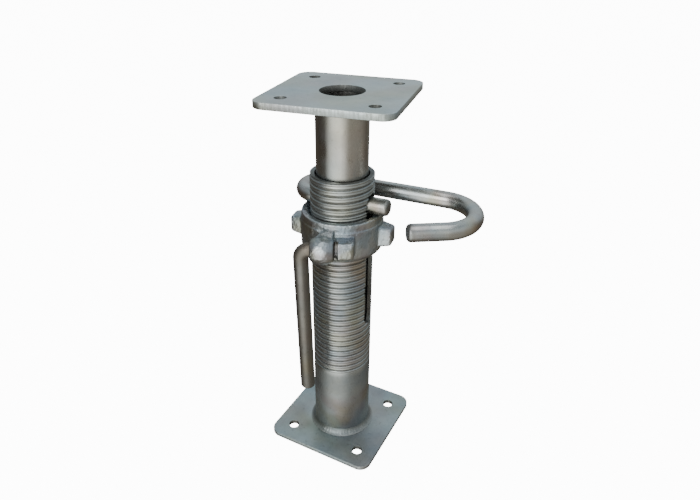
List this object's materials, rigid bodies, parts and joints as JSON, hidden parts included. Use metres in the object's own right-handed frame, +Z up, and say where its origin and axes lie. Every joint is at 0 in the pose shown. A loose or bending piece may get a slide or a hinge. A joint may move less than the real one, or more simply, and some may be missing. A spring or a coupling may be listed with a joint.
{
  "type": "adjustable steel prop",
  "caption": "Short adjustable steel prop: threaded outer tube on a square base plate, inner tube with a head plate, collar nut with a swinging handle, and a hooked pin.",
  "frame": {"origin": "centre of the base plate's underside, on the tubes' axis", "axes": "+Z up along the tubes, X and Y along the base plate's sides"},
  "size_m": [0.1981, 0.1354, 0.3769],
  "materials": {
    "plate_steel": "zinc plated, satin",
    "tube_steel": "zinc plated, satin",
    "bar_steel": "zinc plated, satin",
    "nut_casting": "zinc plated casting, slightly rough",
    "weld": "plated weld bead"
  },
  "bodies": {
    "base": {"base_plate": "plate_steel", "base_weld": "weld", "outer_tube": "tube_steel"},
    "inner": {"inner_tube": "tube_steel", "head_weld": "weld", "head_plate": "plate_steel"},
    "pin": {"bent_pin": "bar_steel"},
    "nut": {"collar_nut": "nut_casting"},
    "handle": {"nut_handle": "bar_steel"}
  },
  "joints": [
    {"name": "inner_slide", "type": "slide", "parent": "base", "child": "inner", "axis": [0, 0, 1], "range_m": [-0.0625, 0.0035]},
    {"name": "nut_turn", "type": "hinge", "parent": "inner", "child": "nut", "pos_m": [0, 0, 0.2475], "axis": [0, 0, 1], "range_deg": [-3540, 198]},
    {"name": "pin_draw", "type": "slide", "parent": "inner", "child": "pin", "axis": [-0.9968, -0.0802, 0], "range_m": [0, 0.069]},
    {"name": "handle_swing", "type": "hinge", "parent": "nut", "child": "handle", "pos_m": [0.0063, -0.0491, 0.2465], "axis": [-0.9185, -0.3955, 0], "range_deg": [-8, 90]}
  ],
  "couplings": [
    {"joint": "inner_slide", "follows": "nut_turn", "m_per_rad": 0.0010106}
  ]
}
